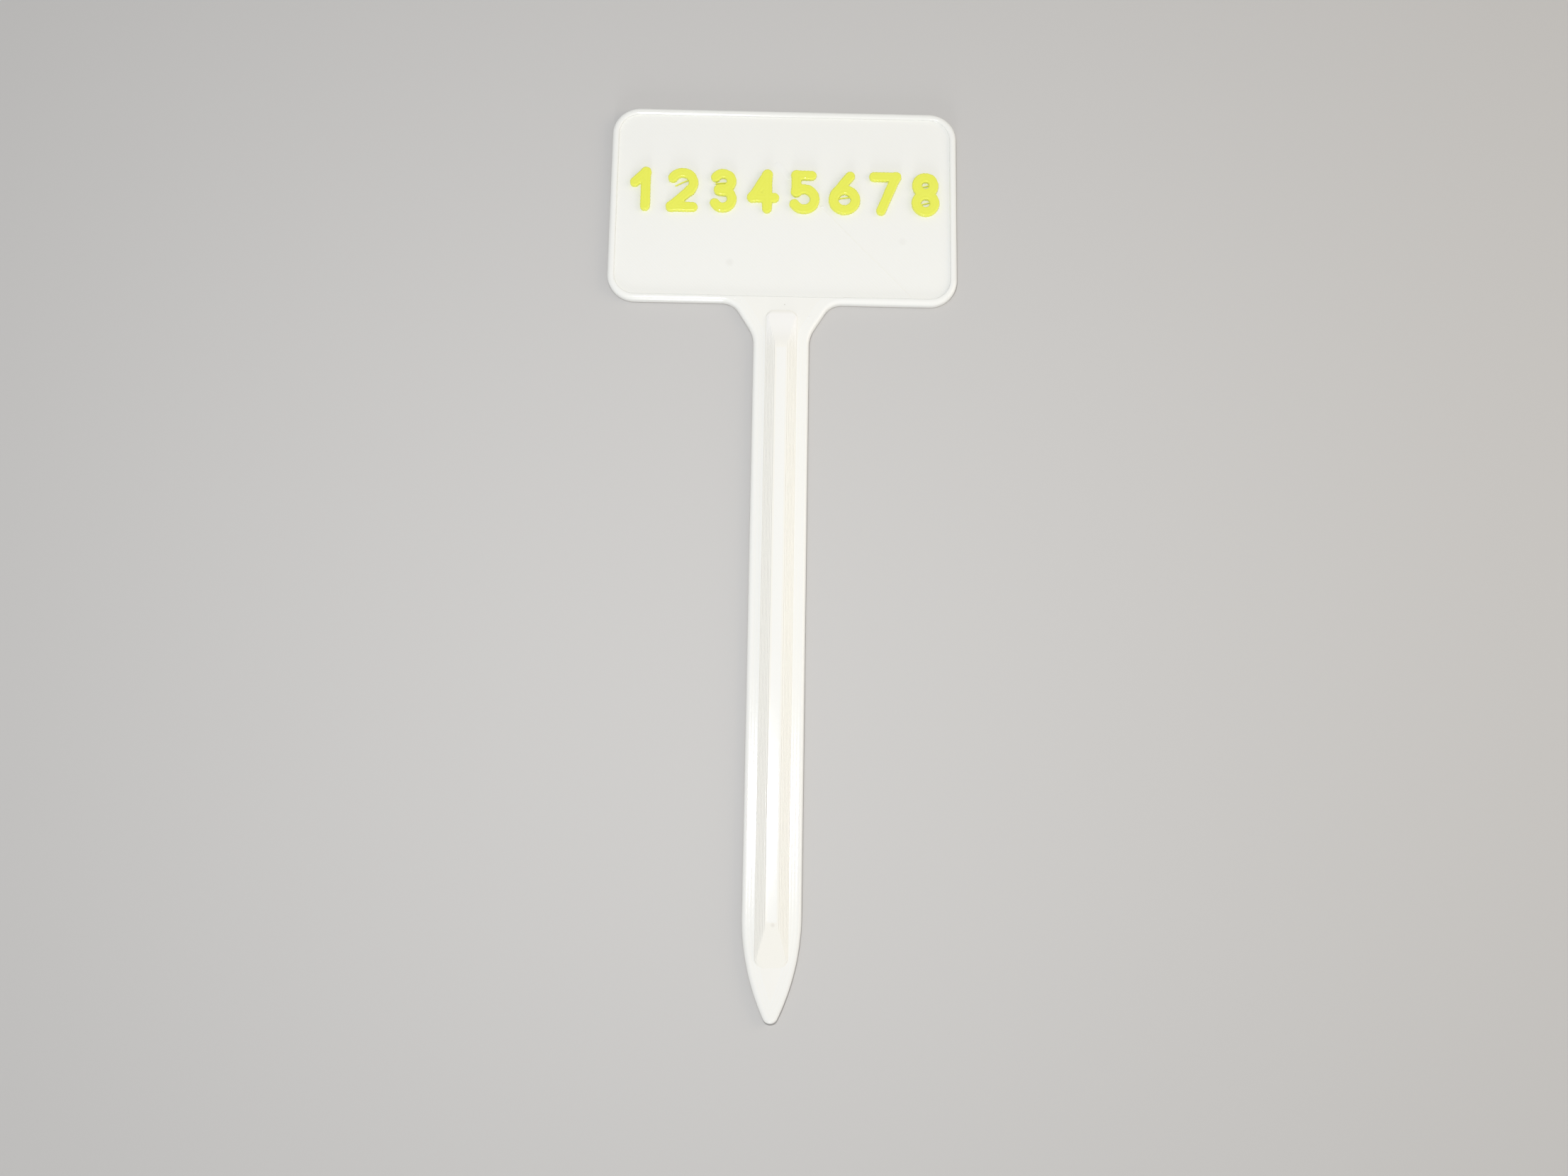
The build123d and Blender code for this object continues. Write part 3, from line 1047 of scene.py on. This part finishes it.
class LABEL_OT_face(bpy.types.Operator):
    """Lays the face of the plaque in slanting beads, with the scar, smear and blob left on it."""

    bl_idname = "plant_label.face"
    bl_label = "Lay the face"

    side_steps = 24

    # Depth of the core under the face, in rises of a bead
    bed_depth = 1.5

    # The scar, with its foot and crest as distances from its middle line and from the face
    scar_start = (-0.84 * MM, 56.56 * MM)
    scar_end = (18.45 * MM, 36.3 * MM)
    scar_steps = 16
    scar_foot = (0.10 * MM, -0.03 * MM)
    scar_crest = (0.04 * MM, 0.012 * MM)
    scar_wander = 0.25 * MM
    scar_wander_length = 6 * MM
    # Painted shade on the scar: its cleft mark grows with depth below this height, up to the most
    scar_shade_height = 0.05 * MM
    scar_shade_depth = 0.02 * MM
    scar_shade_most = 2.5

    # The smear at its start and the blob along it
    smear_end = (0.73 * MM, 54.57 * MM)
    smear_radius = 0.45 * MM
    smear_height = 0.03 * MM
    blob_start = (5.50 * MM, 50.00 * MM)
    blob_end = (5.70 * MM, 50.00 * MM)
    blob_radius = 0.16 * MM
    blob_height = 0.07 * MM

    def execute(self, context):
        shape = context.scene.label_shape
        beads = context.scene.label_beads
        material = white_plastic()
        half = PANEL_HIGH.x
        corner = shape.corner_radius - (RIM_HIGH.x - PANEL_HIGH.x)
        low = PANEL_LOW.z
        top = PANEL_HIGH.z

        def sides(spread):
            ends = (PANEL_LOW.y - spread, PANEL_HIGH.y + spread)
            return rounded_sides(half + spread, *ends, corner + spread, self.side_steps)

        bed = top - self.bed_depth * beads.rise
        core = skin([(*sides(0.0), low + CORE_LIFT * beads.back_rise, 0.0), (*sides(0.0), bed, 0.0)])
        region = sides(beads.tuck)[0]
        under = low + FACE_BACK_LIFT * beads.back_rise
        front = hatched(region, FRONT_HEADING, top, beads.rise, beads, material)
        back = hatched(region, BACK_HEADING, under, -beads.back_rise, beads, material)
        right = [self.scar_crest, self.scar_foot]
        scar = thread(
            [(x, y, top) for x, y in line(self.scar_start, self.scar_end, self.scar_steps)],
            [(-across, up) for across, up in reversed(right)] + right,
            material,
            wander=self.scar_wander,
            wander_length=self.scar_wander_length,
        )
        mark_clefts(scar, top + self.scar_shade_height, self.scar_shade_depth, self.scar_shade_most)
        meshes = [core, front, back, scar]
        swellings = (
            (self.scar_start, self.smear_end, self.smear_radius, self.smear_height),
            (self.blob_start, self.blob_end, self.blob_radius, self.blob_height),
        )
        for start, end, radius, height in swellings:
            meshes.append(dome(start, end, radius, bed, top + height))
        piece("label_face", meshes, material, "face_panel")
        return {"FINISHED"}


class LABEL_OT_rim(bpy.types.Operator):
    """Lays the rounded rim around the face, from one side of the stake's root to the other."""

    bl_idname = "plant_label.rim"
    bl_label = "Lay the rim"

    side_steps = 14
    corner_steps = 14
    end_steps = 6
    fine_lines = 10
    beads_below = 3

    def path(self, radius):
        """Outer line of the rim, clockwise from the left of the root."""
        half = RIM_HIGH.x
        path = [(-BLADE_HIGH.x, RIM_LOW.y)]
        corners = (
            ((radius - half, RIM_LOW.y + radius), -pi / 2),
            ((radius - half, RIM_HIGH.y - radius), pi),
            ((half - radius, RIM_HIGH.y - radius), pi / 2),
            ((half - radius, RIM_LOW.y + radius), 0),
        )
        for centre, start in corners:
            bend = arc(centre, radius, start, start - pi / 2, self.corner_steps)
            path += run(path[-1], bend[0], self.side_steps) + bend
        end = (BLADE_HIGH.x, RIM_LOW.y)
        return path + run(path[-1], end, self.end_steps) + [end]

    def execute(self, context):
        shape = context.scene.label_shape
        beads = context.scene.label_beads
        material = white_plastic()
        width = RIM_HIGH.x - PANEL_HIGH.x
        low = RIM_LOW.z
        top = RIM_HIGH.z
        outer = wall_rows(beads, low, top, shape.outer_round, self.fine_lines)
        inner = wall_rows(beads, low, top, shape.inner_round)
        bead = width / self.beads_below
        under = face_rows(beads.bulge, width - beads.bulge, bead, low, -beads.back_rise)
        profile = [(inset, z) for inset, z, _ in outer]
        profile += [(width - inset, z) for inset, z, _ in reversed(inner)]
        profile += [(inset, z) for inset, z, _ in reversed(under[:-1])]
        path = [(x, y, 0.0) for x, y in self.path(shape.corner_radius)]
        mesh = thread(path, profile[::-1], material)
        piece("label_rim", [mesh], material, "border_rim")
        return {"FINISHED"}


class LABEL_OT_blade(bpy.types.Operator):
    """Lays the stake with beads along its outline and slanting beads across its back."""

    bl_idname = "plant_label.blade"
    bl_label = "Lay the stake"

    # Shiny specks on the neck, in millimetres
    speck_places = ((-1.19, 32.7), (0.28, 33.6), (0.73, 32.5), (3.85, 32.8), (-6.7, 35.5), (-5.8, 35.2))
    speck_seed = 5

    def execute(self, context):
        shape = context.scene.label_shape
        beads = context.scene.label_beads
        material = white_plastic()
        low = BLADE_LOW.z
        top = BLADE_HIGH.z
        bead = beads.edge_bead
        under = face_rows(0.0, beads.edge_width, bead, low, -beads.back_rise)
        crown = face_rows(shape.outer_round, beads.edge_width, bead, top, beads.rise)
        deep_under = (beads.edge_width, low + CORE_LIFT * beads.back_rise, 0.0)
        walls = [deep_under] + under[::-1] + wall_rows(beads, low, top, shape.outer_round)
        rows = [(*blade_sides(shape, inset), z, depth) for inset, z, depth in walls]
        for inset, z, depth in crown:
            side = blade_sides(shape, inset)[0]
            right = [(x, y, top) if y > RIM_LOW.y else (x, y) for x, y in side]
            left = [(-x, *rest) for x, *rest in right]
            rows.append((right, left, z, depth))
        region = blade_sides(shape, beads.edge_width - beads.tuck)[0]
        below = low + STAKE_BACK_LIFT * beads.back_rise
        back = hatched(region, BACK_HEADING, below, -beads.back_rise, beads, material)
        places = [(x * MM, y * MM, top) for x, y in self.speck_places]
        meshes = [skin(rows), back, specks(places, beads, self.speck_seed, material)]
        piece("label_stake", meshes, material, "stake_blade")
        return {"FINISHED"}


class LABEL_OT_rib(bpy.types.Operator):
    """Stacks the rib in layers that step in along its sides, with a ramp at each end."""

    bl_idname = "plant_label.rib"
    bl_label = "Stack the rib"

    rows_per_layer = 14
    side_steps = 60

    # Least rounding of the ends, as a share of the full one
    least_corner = 0.15

    # Painted shade of the sloping sides, darker and warmer, where a full cleft has 1
    slope_painted_shade = 2.4

    # Depth in the stake, in rises of a bead
    sink = 4

    def drawn_in(self, slope_run, blend_radius, height):
        """How far a slope with a rounded top has come in at a height above the stake."""
        rise = RIB_HIGH.z - RIB_LOW.z
        height = min(max(height, 0.0), rise)
        slope = atan2(rise, slope_run)
        tangent = blend_radius * tan(slope / 2)
        if height <= rise - tangent * sin(slope):
            return height * slope_run / rise
        return slope_run + tangent - sqrt(blend_radius**2 - (height - rise + blend_radius) ** 2)

    def execute(self, context):
        shape = context.scene.label_shape
        beads = context.scene.label_beads
        count = round((RIB_HIGH.z - RIB_LOW.z) / beads.layer)
        side_run = RIB_HIGH.x - shape.rib_top_width / 2
        least_corner = self.least_corner * shape.rib_corner_radius
        rows = []
        for i in range(count * self.rows_per_layer + 1):
            layers = i / self.rows_per_layer
            step = beads.step_share * sin(2 * pi * layers) / (2 * pi)
            height = beads.layer * (layers - step)
            side_in = self.drawn_in(side_run, shape.rib_crest_radius, beads.layer * (layers + step))
            root_in = self.drawn_in(shape.rib_root_ramp, shape.rib_ramp_blend, height)
            point_in = self.drawn_in(shape.rib_point_ramp, shape.rib_ramp_blend, height)
            corner = max(shape.rib_corner_radius - point_in, least_corner)
            ends = (RIB_LOW.y + point_in, RIB_HIGH.y - root_in)
            outline = rounded_sides(RIB_HIGH.x - side_in, *ends, corner, self.side_steps)
            rows.append((*outline, RIB_LOW.z + height, self.slope_painted_shade if layers < count else 0.0))
        sunk = (*rows[0][:2], RIB_LOW.z - self.sink * beads.rise, 0.0)
        piece("label_rib", [skin([sunk] + rows)], white_plastic(), "centre_rib")
        return {"FINISHED"}


class LABEL_OT_numerals(bpy.types.Operator):
    """Lays the row of raised numerals and the thin strings across their gaps."""

    bl_idname = "plant_label.numerals"
    bl_label = "Lay the numerals"

    # Depth in the face, in rises of a bead
    sink = 2

    # How far ripples and wavers move on from one numeral to the next, in pitches and waves
    ripple_shift = 0.3
    wave_shift = 7.0

    # Half the cleft's width, as a share of the bead along the outline
    cleft_share = 0.4

    # Share of the upper rounding that belongs to the wall, in rows
    edge_share = 0.2
    edge_rows = 6

    # Rounding and gap at the brink of the layered wall, in layers
    brink_round = 0.2
    brink_gap = 0.25

    # Room for a stroke on each side of its middle line, in pen radii
    margin = 1.1

    string_sides = 6
    string_steps = 6
    string_rise = 0.2 * MM
    string_wander = 0.25 * MM

    def figure(self, numerals, beads, pen, strokes, base, top, seed):
        """One numeral about its own middle: wavering edges, a cleft inside them, slanting ripples."""
        distance = joined(strokes, numerals.joint_round)
        turn = 2 * pi / (sqrt(2) * beads.pitch)
        rounding = numerals.top_round

        def ripple(x, y):
            return sin(turn * (x + y + self.ripple_shift * beads.pitch * seed))

        def inset_at(x, y):
            wave = numerals.wave_length
            stray = noise.noise(Vector((x / wave, y / wave, self.wave_shift * seed)))
            edge_shift = numerals.wave * (stray - 1) + numerals.edge_ripple * ripple(x, y)
            return pen.radius - distance(x, y) + edge_shift

        def top_at(x, y, inset):
            beside = max(1 - abs(inset - numerals.bead) / (self.cleft_share * numerals.bead), 0.0)
            depth = beside * beside * (3 - 2 * beside)
            drop = rounding - sqrt(max(rounding**2 - max(rounding - inset, 0.0) ** 2, 0.0))
            inner = min(max(inset / numerals.bead - 1, 0.0), 1.0)
            swell = numerals.ripple * (inner * ripple(x, y) - 1)
            return top + swell - drop - numerals.rise * depth, depth

        edge = self.edge_share * rounding
        brink = top - numerals.ripple - rounding
        wall = []
        for i in reversed(range(self.edge_rows)):
            inset = edge * (i / self.edge_rows) ** 2
            wall.append((inset, brink + sqrt(rounding**2 - (rounding - inset) ** 2), 0.0))
        layers = wall_rows(beads, base, brink, self.brink_round * beads.layer)
        steps = [row for row in reversed(layers) if row[1] < brink - self.brink_gap * beads.layer]
        margin = self.margin * pen.radius
        reach = (pen.half_w + margin, pen.half_h + margin)
        corners = ((-reach[0], -reach[1]), reach)
        return raised(inset_at, *corners, numerals.cell, edge, top_at, wall + steps)

    def execute(self, context):
        numerals = context.scene.label_numerals
        beads = context.scene.label_beads
        material = yellow_plastic()
        pen = Pen(numerals)
        low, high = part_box("numeral_2")
        seventh_low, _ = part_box("numeral_7")
        # Both numerals fill the whole width of a place, and they stand five places apart
        pitch = (seventh_low.x - low.x) / 5
        first_x = (low.x + high.x) / 2 - pitch
        row_y = (low.y + high.y) / 2
        base = low.z - self.sink * beads.rise
        string = arc((0.0, 0.0), numerals.string_width / 2, 0, 2 * pi, self.string_sides)[:-1]
        string_height = base + self.string_rise
        for place_in_row, node in enumerate(NUMERAL_NODES):
            middle = Vector((first_x + place_in_row * pitch, row_y, 0.0))
            strokes = NUMERALS[place_in_row](pen, numerals)
            meshes = [self.figure(numerals, beads, pen, strokes, base, high.z, place_in_row)]
            for start, end in STRINGS.get(node, []):
                path = line(start, end, self.string_steps)
                path = [(x * MM, y * MM, string_height) for x, y in path]
                meshes.append(thread(path, string, material, wander=self.string_wander))
            for mesh in meshes:
                mesh.transform(Matrix.Translation(middle))
            piece(node.replace("numeral", "figure"), meshes, material, node)
        return {"FINISHED"}


class LABEL_OT_stage(bpy.types.Operator):
    """Sets the pale floor, the lights and the camera."""

    bl_idname = "plant_label.stage"
    bl_label = "Set the stage"

    def area_light(self, name, position, width, height, strength, tint=(1.0, 1.0, 1.0)):
        """Oval area light that lights the middle of the label at a level."""
        data = bpy.data.lights.new(name, "AREA")
        data.shape = "ELLIPSE"
        data.size = width
        data.size_y = height
        data.color = tint
        towards = -Vector(position)
        data.energy = strength * (pi * towards.length) ** 2
        lamp = link(bpy.data.objects.new(name, data))
        lamp.location = position
        lamp.rotation_euler = towards.to_track_quat("-Z", "Y").to_euler()
        lamp.visible_camera = False

    def execute(self, context):
        stage = context.scene.label_stage
        half = stage.floor_size / 2
        corners = ((-half, -half), (half, -half), (half, half), (-half, half))
        mesh = bpy.data.meshes.new("floor")
        mesh.from_pydata([(x, y, -stage.floor_drop) for x, y in corners], [], [(0, 1, 2, 3)])
        floor = link(bpy.data.objects.new("floor", mesh))
        material, _, shader = new_material("floor")
        shader.inputs["Base Color"].default_value = rgba(stage.floor)
        shader.inputs["Roughness"].default_value = stage.floor_gloss
        mesh.materials.append(material)

        world = bpy.data.worlds.new("studio")
        world.use_nodes = True
        context.scene.world = world
        background = world.node_tree.nodes["Background"]
        background.inputs["Color"].default_value = (1.0, 1.0, 1.0, 1.0)
        background.inputs["Strength"].default_value = stage.ambient

        side_size = stage.side_size
        self.area_light("key", stage.key_place, stage.key_size, stage.key_size, stage.key)
        self.area_light("side", stage.side_place, side_size, side_size, stage.side, stage.side_tint)
        self.area_light("front", stage.front_place, stage.front_width, stage.front_height, stage.front)

        data = bpy.data.cameras.new("camera")
        data.sensor_width = 36.0
        data.sensor_fit = "HORIZONTAL"
        data.lens = stage.lens
        data.clip_start = 1 * MM
        camera = link(bpy.data.objects.new("camera", data))
        camera.location = stage.camera_place
        camera.rotation_euler = (stage.camera_tilt, stage.camera_roll, stage.camera_turn)
        context.scene.camera = camera
        context.scene.view_settings.view_transform = "Standard"
        return {"FINISHED"}


OPERATORS = (LABEL_OT_face, LABEL_OT_rim, LABEL_OT_blade, LABEL_OT_rib, LABEL_OT_numerals, LABEL_OT_stage)
GROUPS = {
    "label_shape": LabelShape,
    "label_beads": LabelBeads,
    "label_numerals": LabelNumerals,
    "label_finish": LabelFinish,
    "label_stage": LabelStage,
}


class LABEL_PT_sidebar(bpy.types.Panel):
    """Lists the label's pieces and sizes in the sidebar."""

    bl_idname = "LABEL_PT_sidebar"
    bl_label = "Plant label"
    bl_space_type = "VIEW_3D"
    bl_region_type = "UI"
    bl_category = "Plant label"

    def draw(self, context):
        for operator in OPERATORS:
            self.layout.operator(operator.bl_idname)
        for name, group in GROUPS.items():
            box = self.layout.box()
            box.label(text=group.__doc__)
            for size in group.__annotations__:
                box.prop(getattr(context.scene, name), size)


CLASSES = (*GROUPS.values(), *OPERATORS, LABEL_PT_sidebar)


def register():
    for cls in CLASSES:
        bpy.utils.register_class(cls)
    for name, group in GROUPS.items():
        setattr(bpy.types.Scene, name, PointerProperty(type=group))


def unregister():
    for name in GROUPS:
        delattr(bpy.types.Scene, name)
    for cls in reversed(CLASSES):
        bpy.utils.unregister_class(cls)


def main():
    register()
    bpy.ops.plant_label.face()
    bpy.ops.plant_label.rim()
    bpy.ops.plant_label.blade()
    bpy.ops.plant_label.rib()
    bpy.ops.plant_label.numerals()
    bpy.ops.plant_label.stage()


if __name__ == "__main__":
    main()
